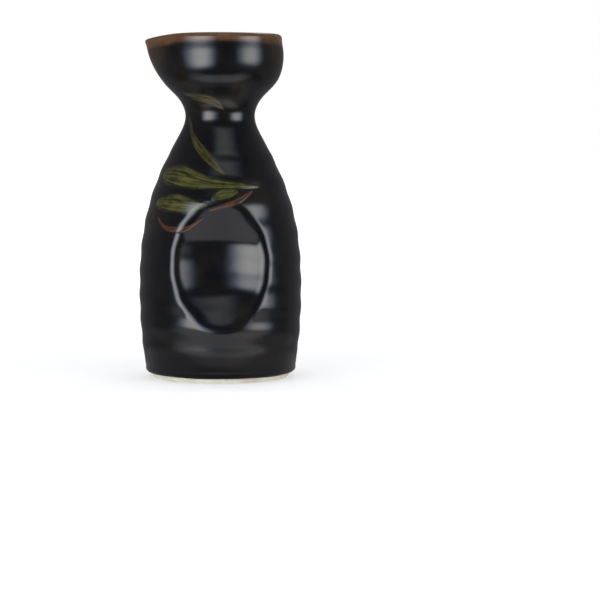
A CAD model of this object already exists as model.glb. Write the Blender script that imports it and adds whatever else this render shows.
import math

import bpy
import numpy as np
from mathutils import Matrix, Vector


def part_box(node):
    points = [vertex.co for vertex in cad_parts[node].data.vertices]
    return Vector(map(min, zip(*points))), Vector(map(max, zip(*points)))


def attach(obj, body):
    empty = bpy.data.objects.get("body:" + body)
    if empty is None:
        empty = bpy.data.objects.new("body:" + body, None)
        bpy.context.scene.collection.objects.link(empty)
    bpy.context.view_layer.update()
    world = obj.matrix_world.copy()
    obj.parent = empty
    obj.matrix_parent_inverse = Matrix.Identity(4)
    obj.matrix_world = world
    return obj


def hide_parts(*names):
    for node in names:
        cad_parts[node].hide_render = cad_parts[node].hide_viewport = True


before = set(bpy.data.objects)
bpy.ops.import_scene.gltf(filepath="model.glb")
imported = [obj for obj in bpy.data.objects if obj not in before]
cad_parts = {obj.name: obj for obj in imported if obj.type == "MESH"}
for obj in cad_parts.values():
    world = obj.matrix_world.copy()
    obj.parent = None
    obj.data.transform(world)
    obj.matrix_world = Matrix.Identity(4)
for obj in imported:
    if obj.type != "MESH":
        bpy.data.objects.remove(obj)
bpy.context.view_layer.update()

MM = 0.001

# ---------------------------------------------------------------- sizes of the bottle, in metres

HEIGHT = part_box("rim_glaze")[1].z
GLAZE_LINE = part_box("outer_glaze")[0].z
FOOT_RADIUS = 31.8 * MM
HEEL = (35.1 * MM, 4.5 * MM)
OUTLINE = [
    HEEL,
    (36.6 * MM, 17.0 * MM),
    (37.9 * MM, 42.0 * MM),
    (34.6 * MM, HEIGHT - 84.0 * MM),
    (30.4 * MM, HEIGHT - 70.0 * MM),
    (19.8 * MM, HEIGHT - 48.0 * MM),
    (16.1 * MM, HEIGHT - 37.5 * MM),
    (18.7 * MM, HEIGHT - 30.5 * MM),
    (26.4 * MM, HEIGHT - 22.0 * MM),
    (29.4 * MM, HEIGHT - 14.0 * MM),
    (29.6 * MM, HEIGHT - 7.5 * MM),
]
BELLY_RADIUS = OUTLINE[2][0]
CUP_RADIUS = OUTLINE[-2][0]
RIM_RADIUS = 29.0 * MM
WALL = 3.2 * MM
GLAZE = 0.5 * MM
HALF_COAT = GLAZE + WALL / 2
FLOOR = 5.5 * MM
FLOOR_CORNER = 8.0 * MM
HIDDEN_GAP = 0.02 * GLAZE
RIM_BAND = 4.4 * MM

LIP_START_DROP = 22.0 * MM
LIP_REACH = 6.4 * MM
LIP_DIP = 2.3 * MM
LIP_SPREAD = math.radians(32)

DIMPLE_HEIGHT = 57.0 * MM
DIMPLE_DEPTH = 12.6 * MM
DIMPLE_SIDE_CURVE = 40.0 * MM
DIMPLE_UPRIGHT_CURVE = 38.0 * MM
DIMPLE_BORDER = 3.5 * MM

RIDGE_PITCH = 11.8 * MM
RIDGE_RISE = 0.18 * MM
RIDGE_PHASE = 0.2
RIDGE_START = 9.0 * MM
RIDGE_END = HEIGHT - 50.0 * MM
RIDGE_FADE = 8.0 * MM
RIDGE_IN_DIMPLE = 0.7
HAND_WOBBLE = 0.06 * MM

SPOKES = 288
SPOKE_ANGLES = np.arange(SPOKES) * 2 * math.pi / SPOKES


# ---------------------------------------------------------------- the shape of the bottle

def smooth_curve(points, start, end):
    """A function of distance that runs smoothly through points, with unit directions at its ends."""
    points = np.array(points, float)
    gaps = np.linalg.norm(np.diff(points, axis=0), axis=1)
    knots = np.concatenate([[0], np.cumsum(gaps)])
    count = len(points)
    matrix = np.eye(count)
    right = np.zeros((count, 2))
    right[0] = start
    right[-1] = end
    for i in range(1, count - 1):
        before, after = gaps[i - 1], gaps[i]
        matrix[i, i - 1:i + 2] = after, 2 * (before + after), before
        steps = points[i] - points[i - 1], points[i + 1] - points[i]
        right[i] = 3 * (after * steps[0] / before + before * steps[1] / after)
    slopes = np.linalg.solve(matrix, right)

    def at(distance):
        distance = np.asarray(distance, float)
        index = np.clip(np.searchsorted(knots, distance) - 1, 0, count - 2)
        gap = gaps[index]
        t = ((distance - knots[index]) / gap)[..., None]
        gap = gap[..., None]
        first, last = points[index], points[index + 1]
        leave, arrive = slopes[index] * gap, slopes[index + 1] * gap
        place = (2 * t**3 - 3 * t**2 + 1) * first + (t**3 - 2 * t**2 + t) * leave
        return place + (3 * t**2 - 2 * t**3) * last + (t**3 - t**2) * arrive

    return at, knots[-1]


def unit(direction):
    """A direction scaled to length 1."""
    direction = np.array(direction, float)
    return direction / np.linalg.norm(direction)


BODY_START = unit((0.12, 1))
HEEL_START = unit((0.8, 0.6))
heel_curve, HEEL_LENGTH = smooth_curve([(FOOT_RADIUS + GLAZE, GLAZE_LINE), HEEL], HEEL_START, BODY_START)
body_curve, BODY_LENGTH = smooth_curve(OUTLINE + [(RIM_RADIUS, HEIGHT - HALF_COAT)], BODY_START, (0, 1))
WALL_LENGTH = HEEL_LENGTH + BODY_LENGTH
BAND_EDGE = WALL_LENGTH - (RIM_BAND - HALF_COAT)


def outline(distance):
    """Radius and height of the glazed outline at a distance along it from the glaze line."""
    distance = np.asarray(distance, float)
    on_heel = heel_curve(np.clip(distance, 0, HEEL_LENGTH))
    on_body = body_curve(np.clip(distance - HEEL_LENGTH, 0, BODY_LENGTH))
    return np.where((distance < HEEL_LENGTH)[..., None], on_heel, on_body)


def wall(distance, depth):
    """Radius and height of the wall at a distance along the outline and a depth below the glaze."""
    step = 0.02 * MM
    ahead = outline(np.clip(distance + step, 0, WALL_LENGTH))
    behind = outline(np.clip(distance - step, 0, WALL_LENGTH))
    direction = (ahead - behind) / np.linalg.norm(ahead - behind, axis=-1, keepdims=True)
    place = outline(distance)
    return place[..., 0] - direction[..., 1] * depth, place[..., 1] + direction[..., 0] * depth


def ramp(value, start, length):
    """0 before start, 1 after start + length, and a smooth rise between."""
    share = np.clip((value - start) / length, 0, 1)
    return share * share * (3 - 2 * share)


def smooth_least(first, second, blend):
    """The smaller of two lengths, rounded where they cross."""
    overlap = np.maximum(blend - np.abs(first - second), 0) / blend
    return np.minimum(first, second) - overlap * overlap * blend / 4


def ridge(height, angle):
    """How far the spiral throwing ridge stands out."""
    fade = ramp(height, RIDGE_START, RIDGE_FADE) * (1 - ramp(height, RIDGE_END - RIDGE_FADE, RIDGE_FADE))
    turns = height / RIDGE_PITCH + angle / (2 * math.pi) + RIDGE_PHASE
    return RIDGE_RISE * fade * np.cos(2 * math.pi * turns)


def hand_wobble(height, angle):
    """Slow unevenness that a thrower's hands leave in the wall."""
    slow = np.sin(2 * angle + height / (17 * MM)) + 0.7 * np.sin(3 * angle - height / (11 * MM) + 1.3)
    quick = 0.55 * np.sin(6 * angle + height / (9 * MM) + 0.4) + 0.4 * np.sin(9 * angle - height / (7 * MM))
    settled = ramp(height, 4 * MM, 12 * MM)
    return HAND_WOBBLE * (slow + quick) * settled


def lip_share(height, angle):
    """How much of the pouring lip's pull is felt here, from 0 to 1."""
    rise = np.clip((height - HEIGHT + LIP_START_DROP) / LIP_START_DROP, 0, 1)
    turn = np.mod(angle, 2 * math.pi) - math.pi
    return rise**1.3 * np.exp(-((turn / LIP_SPREAD) ** 2))


def dish(x, height):
    """Distance of a dimple's glazed surface from the plane through the axis."""
    side = x * x / (2 * DIMPLE_SIDE_CURVE)
    upright = (height - DIMPLE_HEIGHT) ** 2 / (2 * DIMPLE_UPRIGHT_CURVE)
    return BELLY_RADIUS - DIMPLE_DEPTH + side + upright


def surface(radius, height, depth, angle):
    """Points of the bottle at a depth below the glazed outside."""
    share = lip_share(height, angle)
    reach = radius + ridge(height, angle) + hand_wobble(height, angle) + LIP_REACH * share
    x = reach * np.cos(angle)
    y = reach * np.sin(angle)
    ripple = ridge(height, angle) * RIDGE_IN_DIMPLE
    pressed = smooth_least(np.abs(y), dish(x, height) + ripple - depth, DIMPLE_BORDER)
    z = height - LIP_DIP * share + 0 * x
    return np.stack([x, np.copysign(pressed, y), z], axis=-1)


# ---------------------------------------------------------------- meshes

def grid_normals(points, wrap):
    """Smooth normals of a grid of points, pointing to the right of its rows as they go up."""
    if wrap:
        across = np.roll(points, -1, axis=1) - np.roll(points, 1, axis=1)
    else:
        across = np.gradient(points, axis=1)
    along = np.gradient(points, axis=0)
    normals = np.cross(across, along)
    length = np.linalg.norm(normals, axis=-1, keepdims=True)
    return normals / np.maximum(length, 1e-15)


def make_mesh(name, points, faces, normals=None, values=None):
    """A smooth mesh object, with optional vertex normals and named per-vertex numbers."""
    mesh = bpy.data.meshes.new(name)
    mesh.from_pydata(points.tolist(), [], faces)
    mesh.update()
    for polygon in mesh.polygons:
        polygon.use_smooth = True
    for key, numbers in (values or {}).items():
        attribute = mesh.attributes.new(key, "FLOAT", "POINT")
        attribute.data.foreach_set("value", np.asarray(numbers, np.float32))
    if normals is not None:
        mesh.normals_split_custom_set_from_vertices(normals.tolist())
    piece = bpy.data.objects.new(name, mesh)
    bpy.context.scene.collection.objects.link(piece)
    return piece


def grid_faces(rows, columns, wrap, start=0):
    """Quads of a grid whose points are numbered row by row."""
    faces = []
    for row in range(rows - 1):
        for column in range(columns if wrap else columns - 1):
            following = (column + 1) % columns
            low, high = start + row * columns, start + (row + 1) * columns
            faces.append((low + column, low + following, high + following, high + column))
    return faces


def finish_piece(piece, node, material):
    """Gives a piece its material, body and slot, and lets it stand for its CAD node."""
    piece.data.materials.append(material)
    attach(piece, "root")
    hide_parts(node)
    return piece


def closed_coat(name, front, back, lip_distance):
    """A thin closed coat between its shown side and its hidden side, both grids of rings."""
    rows, columns = front.shape[:2]
    back_rows = back.shape[0]
    points = np.concatenate([front.reshape(-1, 3), back.reshape(-1, 3)])
    normals = np.concatenate([
        grid_normals(front, True).reshape(-1, 3),
        -grid_normals(back, True).reshape(-1, 3),
    ])
    faces = grid_faces(rows, columns, True)
    offset = rows * columns
    faces += [tuple(reversed(face)) for face in grid_faces(back_rows, columns, True, offset)]
    for column in range(columns):
        following = (column + 1) % columns
        faces.append((column, offset + column, offset + following, following))
        top, back_top = (rows - 1) * columns, offset + (back_rows - 1) * columns
        faces.append((top + column, top + following, back_top + following, back_top + column))
    distances = np.concatenate([np.repeat(lip_distance, columns), np.full(back_rows * columns, 9.0)])
    return make_mesh(name, points, faces, normals, {"lip_distance": distances})


def bead_depth(distance):
    """Depth of the glaze's face near its lower edge, where it gathers in a round bead."""
    bead = 0.95 * MM
    thick = 0.45 * MM
    rise = np.sqrt(np.clip(1 - (1 - np.clip(distance / bead, 0, 1)) ** 2, 0, 1))
    relax = ramp(distance, bead, 3.5 * MM)
    return GLAZE - rise * (GLAZE + thick * (1 - relax))


def glaze_line_wave(angle):
    """How far the glaze's lower edge wanders up from the glaze line."""
    wave = np.sin(angle * 2 + 0.6) + 0.6 * np.sin(angle * 5 + 2.1) + 0.35 * np.sin(angle * 11 + 0.7)
    return 0.35 * MM * (1.3 + wave * 0.6)


def outer_glaze(material):
    """The black coat outside, with its lower edge a rounded and wandering bead."""
    bead = np.concatenate([[0], np.geomspace(0.02 * MM, 4 * MM, 22)])
    rest = np.linspace(4 * MM, BAND_EDGE, 330)[1:]
    travel = np.concatenate([bead, rest])[:, None]
    distance = travel + glaze_line_wave(SPOKE_ANGLES)[None, :] * (1 - ramp(travel, 1 * MM, 12 * MM))
    depth = bead_depth(travel) + 0 * distance
    radius, height = wall(distance, depth)
    front = surface(radius, height, depth, SPOKE_ANGLES[None, :])
    hidden = np.linspace(0, BAND_EDGE, 90)[:, None]
    start = glaze_line_wave(SPOKE_ANGLES)[None, :] * (1 - ramp(hidden, 1 * MM, 12 * MM))
    back_depth = GLAZE - HIDDEN_GAP + 0 * start
    radius, height = wall(hidden + start, back_depth)
    back = surface(radius, height, back_depth, SPOKE_ANGLES[None, :])
    to_lip = WALL_LENGTH - travel[:, 0]
    piece = closed_coat("black_outer_glaze", front, back, to_lip / MM)
    return finish_piece(piece, "outer_glaze", material)


def over_lip(half):
    """Radii, heights, depths and distances from the lip's crest, from band edge to band edge."""
    straight = np.linspace(BAND_EDGE, WALL_LENGTH, 10)[:-1]
    radius, height = wall(np.array([WALL_LENGTH]), np.array([HALF_COAT]))
    turn = np.linspace(0, math.pi, 25)
    arc_radius = radius[0] + half * np.cos(turn)
    arc_height = height[0] + half * np.sin(turn)
    outside = wall(straight, np.full(len(straight), HALF_COAT - half))
    inside = wall(straight[::-1], np.full(len(straight), HALF_COAT + half))
    radii = np.concatenate([outside[0], arc_radius, inside[0]])
    heights = np.concatenate([outside[1], arc_height, inside[1]])
    depths = np.concatenate([
        np.full(len(straight), HALF_COAT - half),
        HALF_COAT - half * np.cos(turn),
        np.full(len(straight), HALF_COAT + half),
    ])
    away = np.concatenate([
        WALL_LENGTH - straight,
        np.zeros(len(turn)),
        WALL_LENGTH - straight[::-1],
    ])
    return radii, heights, depths, away


def rim_glaze(material):
    """The coat over the lip, where the glaze breaks to iron brown."""
    grids = []
    for half in (HALF_COAT, WALL / 2 + HIDDEN_GAP):
        radii, heights, depths, away = over_lip(half)
        grids.append(surface(radii[:, None], heights[:, None], depths[:, None], SPOKE_ANGLES[None, :]))
    piece = closed_coat("brown_rim_glaze", grids[0], grids[1], away / MM)
    return finish_piece(piece, "rim_glaze", material)


def inside_rings(half, count):
    """Rings down the inside, round the floor's corner and in to the middle of the floor."""
    depth = HALF_COAT + half
    corner_height = FLOOR + FLOOR_CORNER
    distance = np.linspace(BAND_EDGE, 14 * MM, count)
    radius, height = wall(distance, np.full(count, depth))
    keep = height > corner_height + 1 * MM
    radius, height, distance = radius[keep], height[keep], distance[keep]
    bend = FLOOR_CORNER - (half - WALL / 2)
    corner_radius = radius[-1] - bend
    turn = np.linspace(0, math.pi / 2, 14)
    arc_radius = corner_radius + bend * np.cos(turn)
    arc_height = corner_height - bend * np.sin(turn)
    floor_radius = np.linspace(corner_radius, 0.3 * MM, 14)[1:]
    radii = np.concatenate([radius, arc_radius, floor_radius])
    heights = np.concatenate([height, arc_height, np.full(len(floor_radius), arc_height[-1])])
    depths = np.full(len(radii), depth)
    grid = surface(radii[:, None], heights[:, None], depths[:, None], SPOKE_ANGLES[None, :])
    away = np.concatenate([WALL_LENGTH - distance, np.full(len(radii) - len(distance), 9.0)])
    return grid, away


def inner_glaze(material):
    """The coat inside the cup, neck and chamber."""
    front, away = inside_rings(HALF_COAT, 200)
    back = inside_rings(WALL / 2 + HIDDEN_GAP, 60)[0]
    piece = closed_coat("black_inner_glaze", front, back, away / MM)
    return finish_piece(piece, "inner_glaze", material)


# ---------------------------------------------------------------- brush strokes

# Each point of a stroke: angle in degrees from the front (positive towards +X), drop below the top of
# the lip and width, in millimetres.
STROKES = {
    "stem_stroke": [(-63, 38, 1.2), (-45, 45, 1.8), (-25, 52.5, 3.4), (-8, 59, 3.4), (4, 64.5, 1.4)],
    "upper_leaf_stroke": [(-68, 65, 5.0), (-48, 65, 8.5), (-29, 66.5, 7.5), (-5, 68.5, 4.4), (36, 70, 1.4)],
    "lower_leaf_stroke": [(-64, 78, 3.0), (-44, 77.5, 7.0), (-22, 78.5, 5.0), (-10, 78, 1.8)],
    "inner_leaf_stroke": [(-7, 75.5, 1.5), (3, 73.5, 4.0), (15, 72, 1.5)],
    "left_brown_stroke": [
        (-55, 84.5, 1.2), (-45, 88.5, 2.0), (-34, 89.5, 2.4), (-24, 88.5, 1.9), (-13, 84, 1.0),
    ],
    "right_brown_stroke": [(-9, 81, 1.0), (3, 78.5, 1.8), (14, 76.5, 1.9), (28, 71.8, 1.0)],
    "cup_stroke": [(-52, 27.5, 1.6), (-30, 29.5, 3.2), (-8, 31.5, 3.0), (6, 34.5, 1.4)],
}
STROKE_RELIEF = 0.10 * MM
STROKE_ROOT = 0.06 * MM
FEATHER = 1.35

HEIGHT_TABLE = np.linspace(0, WALL_LENGTH, 4000)
HEIGHTS = outline(HEIGHT_TABLE)[:, 1]


def on_glaze(angle, height, lift):
    """Points on the glaze, or off it by a lift, at angles in degrees from the front."""
    distance = np.interp(height, HEIGHTS, HEIGHT_TABLE)
    radius, real_height = wall(distance, -lift)
    return surface(radius, real_height, -lift, np.radians(angle - 90))


def through(points, count):
    """Points spaced along a smooth line through a stroke's points."""
    points = np.array(points, float)
    share = np.linspace(0, 1, len(points))
    fine = np.linspace(0, 1, count)
    columns = []
    for values in points.T:
        places = np.stack([share * 100, values], axis=-1)
        curve = smooth_curve(places, (1, 0), (1, 0))[0]
        gaps = np.linalg.norm(np.diff(places, axis=0), axis=1)
        knots = np.concatenate([[0], np.cumsum(gaps)])
        columns.append(curve(np.interp(fine, share, knots))[:, 1])
    return np.stack(columns, axis=-1)


def brush_stroke(node, material):
    """A thin raised stroke of overglaze whose edges thin out into the glaze below."""
    count, across = 90, 17
    line = through(STROKES[node], count)
    height = HEIGHT - line[:, 1] * MM
    angle = line[:, 0]
    width = line[:, 2] * MM * FEATHER
    radius = outline(np.interp(height, HEIGHTS, HEIGHT_TABLE))[:, 0]
    run = np.gradient(np.radians(angle)) * radius
    rise = np.gradient(height)
    length = np.hypot(run, rise)
    side = np.linspace(-1, 1, across)[None, :]
    taper = np.sqrt(np.clip(1 - np.abs(np.linspace(-1, 1, count)) ** 6, 0, 1))[:, None]
    half = (width / 2)[:, None] * taper
    point_angle = angle[:, None] - np.degrees(side * half * (rise / length / radius)[:, None])
    point_height = height[:, None] + side * half * (run / length)[:, None]
    dome = (1 - side**2) * taper
    top = on_glaze(point_angle, point_height, STROKE_RELIEF * dome)
    under = on_glaze(point_angle, point_height, -STROKE_ROOT * dome)
    points = np.concatenate([top.reshape(-1, 3), under.reshape(-1, 3)])
    outward = top * np.array([1, 1, 0])
    facing = np.sign(np.sum(grid_normals(top, False) * outward, axis=-1))
    ends = np.linspace(0, 1, count)[:, None] + 0 * side
    cover = np.clip(dome * 1.25, 0, 1)
    faces = grid_faces(count, across, False)
    low = [tuple(reversed(face)) for face in grid_faces(count, across, False, count * across)]
    if facing.mean() < 0:
        faces = [tuple(reversed(face)) for face in faces]
        low = [tuple(reversed(face)) for face in low]
    values = {
        "cover": np.concatenate([cover.ravel(), cover.ravel()]),
        "stroke_along": np.concatenate([ends.ravel(), ends.ravel()]),
        "stroke_across": np.concatenate([(side + 0 * ends).ravel()] * 2),
    }
    piece = make_mesh("painted_" + node, points, faces + low, None, values)
    return finish_piece(piece, node, material)


# ---------------------------------------------------------------- materials

class Nodes:
    """Short ways to add and join a material's nodes."""

    def __init__(self, material):
        material.use_nodes = True
        self.tree = material.node_tree
        self.tree.nodes.clear()
        self.output = self.add("ShaderNodeOutputMaterial")

    def add(self, kind, **settings):
        node = self.tree.nodes.new(kind)
        for key, value in settings.items():
            setattr(node, key, value)
        return node

    def join(self, source, target):
        self.tree.links.new(source, target)

    def noise(self, scale, detail=3.0, roughness=0.5, distortion=0.0, vector=None):
        node = self.add("ShaderNodeTexNoise")
        node.inputs["Scale"].default_value = scale
        node.inputs["Detail"].default_value = detail
        node.inputs["Roughness"].default_value = roughness
        node.inputs["Distortion"].default_value = distortion
        self.join(vector or self.place(), node.inputs["Vector"])
        return node.outputs["Fac"]

    def place(self):
        return self.add("ShaderNodeTexCoord").outputs["Object"]

    def attribute(self, name):
        return self.add("ShaderNodeAttribute", attribute_name=name).outputs["Fac"]

    def math(self, operation, first, second=None, third=None):
        node = self.add("ShaderNodeMath", operation=operation)
        for socket, value in zip(node.inputs, (first, second, third)):
            if value is None:
                continue
            if isinstance(value, (int, float)):
                socket.default_value = value
            else:
                self.join(value, socket)
        return node.outputs[0]

    def spread(self, value, low, high, out_low=0.0, out_high=1.0):
        node = self.add("ShaderNodeMapRange", interpolation_type="SMOOTHSTEP")
        node.inputs["From Min"].default_value = low
        node.inputs["From Max"].default_value = high
        node.inputs["To Min"].default_value = out_low
        node.inputs["To Max"].default_value = out_high
        self.join(value, node.inputs["Value"])
        return node.outputs["Result"]

    def mix(self, share, first, second):
        node = self.add("ShaderNodeMix", data_type="RGBA")
        for socket, value in ((node.inputs[0], share), (node.inputs[6], first), (node.inputs[7], second)):
            if isinstance(value, tuple):
                socket.default_value = (*value, 1.0)
            elif isinstance(value, (int, float)):
                socket.default_value = value
            else:
                self.join(value, socket)
        return node.outputs[2]

    def bump(self, height, distance, strength=1.0, below=None):
        node = self.add("ShaderNodeBump")
        node.inputs["Strength"].default_value = strength
        node.inputs["Distance"].default_value = distance
        self.join(height, node.inputs["Height"])
        if below is not None:
            self.join(below, node.inputs["Normal"])
        return node.outputs["Normal"]

    def surface(self, colour, roughness, normal=None, ior=1.5):
        shader = self.add("ShaderNodeBsdfPrincipled")
        shader.inputs["IOR"].default_value = ior
        for socket, value in (("Base Color", colour), ("Roughness", roughness), ("Normal", normal)):
            if value is None:
                continue
            if isinstance(value, tuple):
                shader.inputs[socket].default_value = (*value, 1.0)
            elif isinstance(value, (int, float)):
                shader.inputs[socket].default_value = value
            else:
                self.join(value, shader.inputs[socket])
        self.join(shader.outputs[0], self.output.inputs["Surface"])
        return shader


CARD_MIDDLE = (1.0, 1.0, 1.0)
CARD_EDGE = (0.55, 0.72, 1.0)
BLACK = (0.0035, 0.0036, 0.0045)
WARM_BLACK = (0.012, 0.009, 0.005)
RIM_BROWN = (0.095, 0.046, 0.022)
RIM_DARK = (0.040, 0.019, 0.009)
KEEL_OLIVE = (0.040, 0.028, 0.010)
PALE_CLAY = (0.74, 0.70, 0.58)
DARK_CLAY = (0.62, 0.56, 0.44)


def black_glaze_colour(nodes):
    """Near black, with slow patches where iron shows warm and a few pale specks."""
    slow = nodes.spread(nodes.noise(38, 4.0, 0.6), 0.48, 0.75)
    colour = nodes.mix(slow, BLACK, WARM_BLACK)
    specks = nodes.spread(nodes.noise(1500, 1.0), 0.74, 0.80, 0.0, 0.35)
    return nodes.mix(specks, colour, (0.05, 0.04, 0.03))


def glaze_relief(nodes):
    """The faint waves and pinholes of a thick melted glaze."""
    waves = nodes.bump(nodes.noise(75, 2.0, 0.4), 0.30 * MM, 0.6)
    return nodes.bump(nodes.noise(620, 2.0, 0.5), 0.008 * MM, 0.6, waves)


def glaze_roughness(nodes):
    """Mostly glassy, a little duller in patches."""
    return nodes.spread(nodes.noise(60, 3.0, 0.6), 0.3, 0.75, 0.16, 0.22)


def make_glaze(name):
    """Black glaze that breaks to iron brown near the lip, where lip_distance is small."""
    material = bpy.data.materials.new(name)
    nodes = Nodes(material)
    distance = nodes.attribute("lip_distance")
    wander = nodes.math("MULTIPLY_ADD", nodes.noise(70, 3.0, 0.55), 1.8, -0.9)
    place = nodes.add("ShaderNodeSeparateXYZ")
    nodes.join(nodes.place(), place.inputs["Vector"])
    sideways = nodes.math("MULTIPLY", place.outputs["X"], 1 / CUP_RADIUS)
    widening = nodes.math("MULTIPLY", nodes.math("MULTIPLY", sideways, sideways), 1.9)
    edge = nodes.math("SUBTRACT", nodes.math("ADD", distance, wander), widening)
    share = nodes.spread(edge, 0.6, 2.8, 1.0, 0.0)
    cloud = nodes.math("SUBTRACT", nodes.noise(110, 3.0, 0.55), nodes.math("MULTIPLY", edge, 0.12))
    brown = nodes.mix(nodes.spread(cloud, 0.15, 0.65), RIM_DARK, RIM_BROWN)
    keel = nodes.spread(place.outputs["X"], -0.78 * CUP_RADIUS, -1.12 * CUP_RADIUS)
    keel = nodes.math("MULTIPLY", keel, nodes.spread(place.outputs["Z"], HEIGHT - 24 * MM, HEIGHT - 10 * MM))
    keel = nodes.math("MULTIPLY", keel, nodes.spread(nodes.noise(90, 3.0), 0.25, 0.7, 0.35, 0.9))
    body = nodes.mix(keel, black_glaze_colour(nodes), KEEL_OLIVE)
    colour = nodes.mix(share, body, brown)
    nodes.surface(colour, glaze_roughness(nodes), glaze_relief(nodes), 1.52)
    return material


def make_overglaze(name, thin, thick):
    """Brushed colour over black: streaked along the stroke and thinning to the glaze at its edges."""
    material = bpy.data.materials.new(name)
    nodes = Nodes(material)
    hair = nodes.add("ShaderNodeCombineXYZ")
    nodes.join(nodes.math("MULTIPLY", nodes.attribute("stroke_along"), 3.0), hair.inputs["X"])
    nodes.join(nodes.math("MULTIPLY", nodes.attribute("stroke_across"), 4.5), hair.inputs["Y"])
    bristles = nodes.noise(1.0, 1.5, 0.5, 0.0, hair.outputs["Vector"])
    patches = nodes.noise(240, 3.0, 0.6)
    cover = nodes.attribute("cover")
    loaded = nodes.math("MULTIPLY_ADD", bristles, 1.1, nodes.math("MULTIPLY", patches, 0.5))
    load_share = nodes.spread(loaded, 0.40, 1.0, 0.45, 1.0)
    density = nodes.math("MULTIPLY", load_share, nodes.spread(cover, 0.0, 1.0))
    paint = nodes.mix(nodes.spread(loaded, 0.6, 1.1), thin, thick)
    colour = nodes.mix(density, black_glaze_colour(nodes), paint)
    nodes.surface(colour, glaze_roughness(nodes), glaze_relief(nodes), 1.52)
    return material


def make_stoneware():
    """Bare fired stoneware: cream, sandy and dry, with iron specks."""
    material = bpy.data.materials.new("stoneware")
    nodes = Nodes(material)
    patches = nodes.spread(nodes.noise(90, 4.0, 0.6), 0.35, 0.7)
    tone = nodes.mix(patches, PALE_CLAY, DARK_CLAY)
    specks = nodes.spread(nodes.noise(1300, 2.0), 0.68, 0.74, 0.0, 0.7)
    colour = nodes.mix(specks, tone, (0.10, 0.05, 0.025))
    grain = nodes.bump(nodes.noise(1700, 3.0, 0.7), 0.06 * MM, 0.7)
    nodes.surface(colour, nodes.spread(nodes.noise(300, 2.0), 0.3, 0.7, 0.75, 0.92), grain, 1.5)
    return material


# ---------------------------------------------------------------- studio

def pale_floor():
    """A plain pale floor that glows towards its far edges, where it runs into the white background."""
    material = bpy.data.materials.new("pale_floor")
    nodes = Nodes(material)
    shader = nodes.surface((0.4, 0.4, 0.4), 1.0)
    away = nodes.add("ShaderNodeVectorMath", operation="LENGTH")
    nodes.join(nodes.place(), away.inputs[0])
    glow = nodes.spread(away.outputs["Value"], 0.05, 0.9, 0.55, 1.0)
    shader.inputs["Emission Color"].default_value = (1, 1, 1, 1)
    nodes.join(glow, shader.inputs["Emission Strength"])
    return material


def rectangle(name, centre, across, upright):
    """A flat rectangle from its centre and two half-edges."""
    centre, across, upright = Vector(centre), Vector(across), Vector(upright)
    low, high = centre - upright, centre + upright
    corners = [low - across, low + across, high + across, high - across]
    mesh = bpy.data.meshes.new(name)
    mesh.from_pydata([tuple(corner) for corner in corners], [], [(0, 1, 2, 3)])
    mesh.uv_layers.new(name="UVMap")
    for loop, place in zip(mesh.uv_layers[0].data, ((0, 0), (1, 0), (1, 1), (0, 1))):
        loop.uv = place
    piece = bpy.data.objects.new(name, mesh)
    bpy.context.scene.collection.objects.link(piece)
    return piece


def softbox(name, azimuth, distance, low, high, width, strength):
    """A glowing card that faces the bottle, brightest in its middle. Azimuth 0 is the camera's side."""
    turn = math.radians(azimuth)
    away = Vector((math.sin(turn), -math.cos(turn), 0))
    centre = away * distance + Vector((0, 0, (low + high) / 2))
    across = Vector((0, 0, 1)).cross(away) * (width / 2)
    card = rectangle(name, centre, across, Vector((0, 0, (high - low) / 2)))
    material = bpy.data.materials.new(name)
    nodes = Nodes(material)
    place = nodes.add("ShaderNodeSeparateXYZ")
    nodes.join(nodes.add("ShaderNodeTexCoord").outputs["UV"], place.inputs["Vector"])
    glow = None
    for axis in ("X", "Y"):
        offset = nodes.math("ABSOLUTE", nodes.math("SUBTRACT", place.outputs[axis], 0.5))
        fall = nodes.spread(offset, 0.04 if axis == "X" else 0.22, 0.5, 1.0, 0.0)
        glow = fall if glow is None else nodes.math("MULTIPLY", glow, fall)
    emission = nodes.add("ShaderNodeEmission")
    nodes.join(nodes.mix(nodes.spread(glow, 0.1, 1.0), CARD_EDGE, CARD_MIDDLE), emission.inputs["Color"])
    nodes.join(nodes.math("MULTIPLY", glow, strength), emission.inputs["Strength"])
    nodes.join(emission.outputs[0], nodes.output.inputs["Surface"])
    card.data.materials.append(material)
    card.visible_camera = False
    card.visible_shadow = False


def near_floor():
    """The part of the floor that shows in the glaze: it fades out a short way in front of the bottle."""
    patch = rectangle("near_floor", (0, -0.08, 0.02 * MM), (0.24, 0, 0), (0, 0.12, 0))
    material = bpy.data.materials.new("near_floor")
    nodes = Nodes(material)
    place = nodes.add("ShaderNodeSeparateXYZ")
    nodes.join(nodes.place(), place.inputs["Vector"])
    side = nodes.math("ABSOLUTE", place.outputs["X"])
    glow = nodes.spread(side, 0.06, 0.24, 1.0, 0.0)
    glow = nodes.math("MULTIPLY", glow, nodes.spread(place.outputs["Y"], -0.17, -0.13, 0.0, 1.0))
    middle = nodes.math("MULTIPLY", nodes.spread(side, 0.004, 0.04, 0.45, 1.0), glow)
    near = nodes.spread(place.outputs["Y"], -0.075, -0.05, 1.0, 0.0)
    glow = nodes.math("ADD", nodes.math("MULTIPLY", glow, near), nodes.math("MULTIPLY", middle, 0.35))
    emission = nodes.add("ShaderNodeEmission")
    emission.inputs["Color"].default_value = (0.95, 0.95, 1.0, 1.0)
    nodes.join(nodes.math("MULTIPLY", glow, 0.75), emission.inputs["Strength"])
    nodes.join(emission.outputs[0], nodes.output.inputs["Surface"])
    patch.data.materials.append(material)
    patch.visible_camera = False
    patch.visible_shadow = False
    patch.visible_diffuse = False


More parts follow.
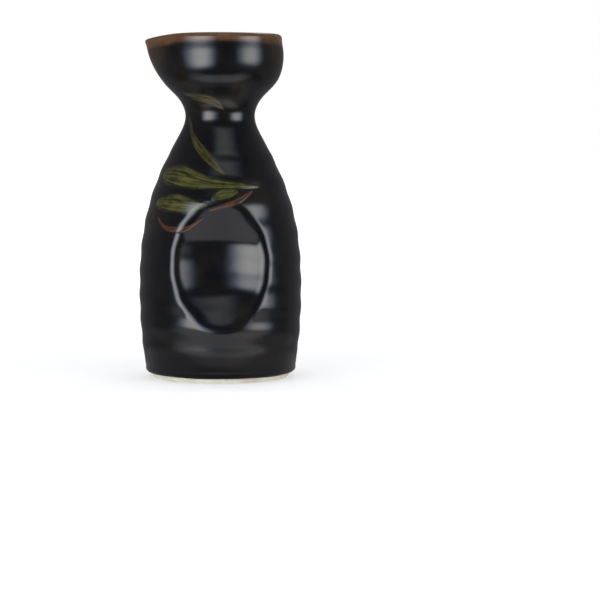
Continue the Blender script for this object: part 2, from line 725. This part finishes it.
def studio():
    """Pale floor, white surroundings for the eye, dim ones for reflections, and soft lights."""
    floor = rectangle("floor", (0, 0, -0.05 * MM), (6, 0, 0), (0, 6, 0))
    floor.data.materials.append(pale_floor())
    floor.visible_glossy = False
    near_floor()

    softbox("left_softbox", -35, 0.62, -0.22, 0.42, 0.78, 6.0)
    softbox("right_softbox", 56, 0.66, -0.12, 0.42, 0.74, 5.0)
    softbox("back_softbox", 165, 1.1, 0.80, 1.5, 1.2, 3.0)
    softbox("ceiling_card", 14, 1.0, 1.0, 2.3, 2.4, 1.0)

    world = bpy.data.worlds.new("studio")
    bpy.context.scene.world = world
    world.use_nodes = True
    tree = world.node_tree
    tree.nodes.clear()
    output = tree.nodes.new("ShaderNodeOutputWorld")
    seen = tree.nodes.new("ShaderNodeBackground")
    seen.inputs["Color"].default_value = (1, 1, 1, 1)
    seen.inputs["Strength"].default_value = 1.0
    around = tree.nodes.new("ShaderNodeBackground")
    around.inputs["Color"].default_value = (0.93, 0.93, 1, 1)
    direction = tree.nodes.new("ShaderNodeSeparateXYZ")
    tree.links.new(tree.nodes.new("ShaderNodeTexCoord").outputs["Generated"], direction.inputs["Vector"])
    behind = tree.nodes.new("ShaderNodeMapRange")
    behind.interpolation_type = "SMOOTHSTEP"
    for key, value in (("From Min", -0.95), ("From Max", 0.5), ("To Min", 0.04), ("To Max", 0.16)):
        behind.inputs[key].default_value = value
    tree.links.new(direction.outputs["Y"], behind.inputs["Value"])
    tree.links.new(behind.outputs["Result"], around.inputs["Strength"])
    path = tree.nodes.new("ShaderNodeLightPath")
    mix = tree.nodes.new("ShaderNodeMixShader")
    tree.links.new(path.outputs["Is Camera Ray"], mix.inputs[0])
    tree.links.new(around.outputs[0], mix.inputs[1])
    tree.links.new(seen.outputs[0], mix.inputs[2])
    tree.links.new(mix.outputs[0], output.inputs["Surface"])

    top = bpy.data.lights.new("overhead", "AREA")
    top.shape = "RECTANGLE"
    top.size = 1.6
    top.size_y = 1.6
    top.energy = 30
    lamp = bpy.data.objects.new("overhead", top)
    lamp.location = (0, 0.1, 1.7)
    bpy.context.scene.collection.objects.link(lamp)
    lamp.visible_glossy = False


def camera():
    """A long lens a metre away, level with the neck, aimed a little low and to the right."""
    data = bpy.data.cameras.new("camera")
    data.sensor_width = 36
    data.lens = 127.9
    data.clip_start = 0.05
    data.clip_end = 50
    data.dof.use_dof = False
    eye = bpy.data.objects.new("camera", data)
    eye.location = (0, -1.0, 0.120)
    pitch, yaw = math.radians(4.81), math.radians(2.14)
    eye.rotation_euler = (math.pi / 2 - pitch, 0, -yaw)
    bpy.context.scene.collection.objects.link(eye)
    bpy.context.scene.camera = eye
    bpy.context.scene.view_settings.view_transform = "Standard"


# ---------------------------------------------------------------- the model

camera()
studio()

glaze = make_glaze("black_glaze")
outer_glaze(glaze)
rim_glaze(make_glaze("rim_glaze"))
inner_glaze(make_glaze("inner_glaze"))

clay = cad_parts["clay_body"]
stoneware = make_stoneware()
for material_slot in clay.material_slots:
    material_slot.material = stoneware

olive = make_overglaze("olive_overglaze", (0.022, 0.019, 0.006), (0.070, 0.062, 0.018))
green = make_overglaze("leaf_green_overglaze", (0.022, 0.022, 0.006), (0.085, 0.085, 0.020))
brown = make_overglaze("iron_brown_overglaze", (0.030, 0.014, 0.007), (0.110, 0.048, 0.024))
brush_stroke("stem_stroke", olive)
brush_stroke("cup_stroke", olive)
for node in ("upper_leaf_stroke", "lower_leaf_stroke", "inner_leaf_stroke"):
    brush_stroke(node, green)
for node in ("left_brown_stroke", "right_brown_stroke"):
    brush_stroke(node, brown)
